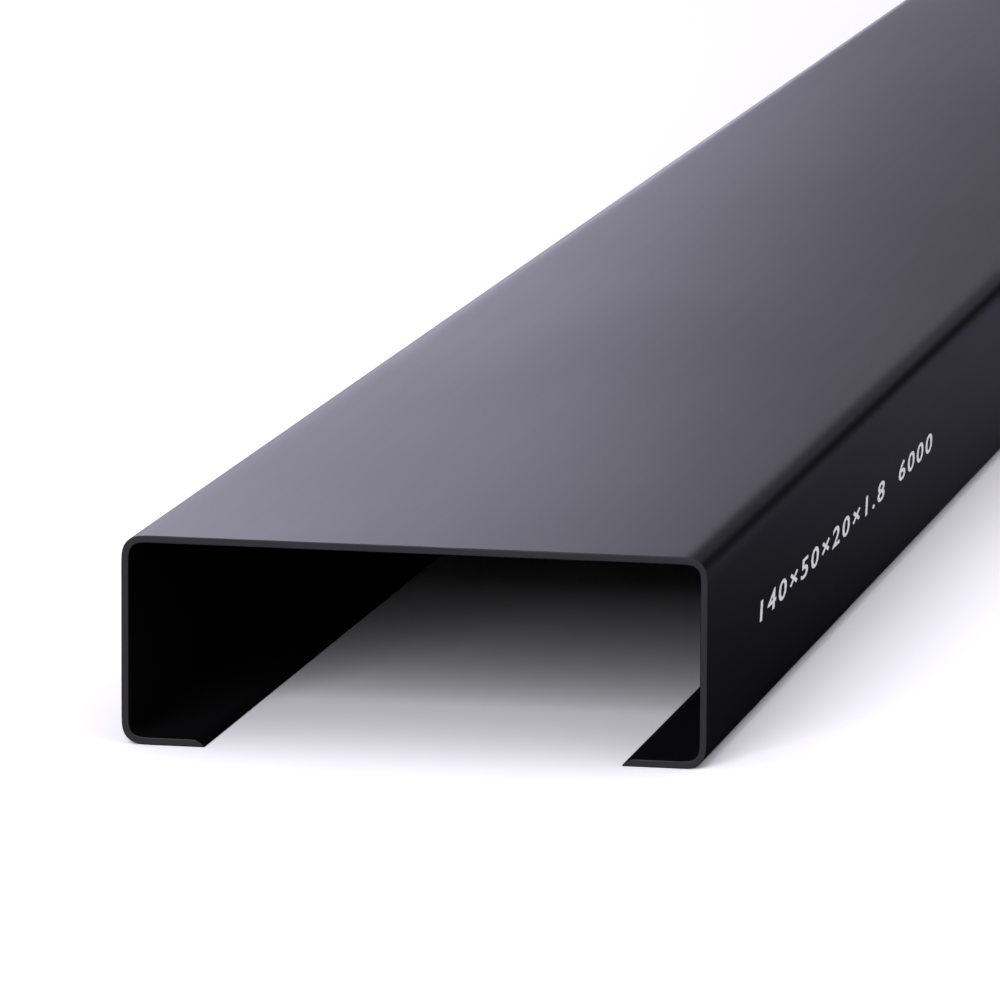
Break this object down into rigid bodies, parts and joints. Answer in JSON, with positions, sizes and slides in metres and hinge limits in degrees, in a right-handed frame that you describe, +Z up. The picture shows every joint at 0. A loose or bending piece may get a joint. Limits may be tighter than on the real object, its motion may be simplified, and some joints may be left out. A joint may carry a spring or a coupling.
{
  "type": "c purlin",
  "caption": "Long cold-formed steel channel with a wide web, two flanges and inward lips, in black paint, used as a roof or wall purlin.",
  "frame": {"origin": "bottom centre: under the middle of the web, at the middle of the length, level with the lips' outer faces that it lies on", "axes": "+Y along the length, +X across the web from one flange to the other, +Z up from the lips to the web's outer face"},
  "size_m": [0.14, 6, 0.05],
  "materials": {
    "black_painted_steel": "satin",
    "white_marking_ink": "matte"
  },
  "bodies": {
    "root": {"c_purlin": "black_painted_steel"}
  },
  "joints": []
}
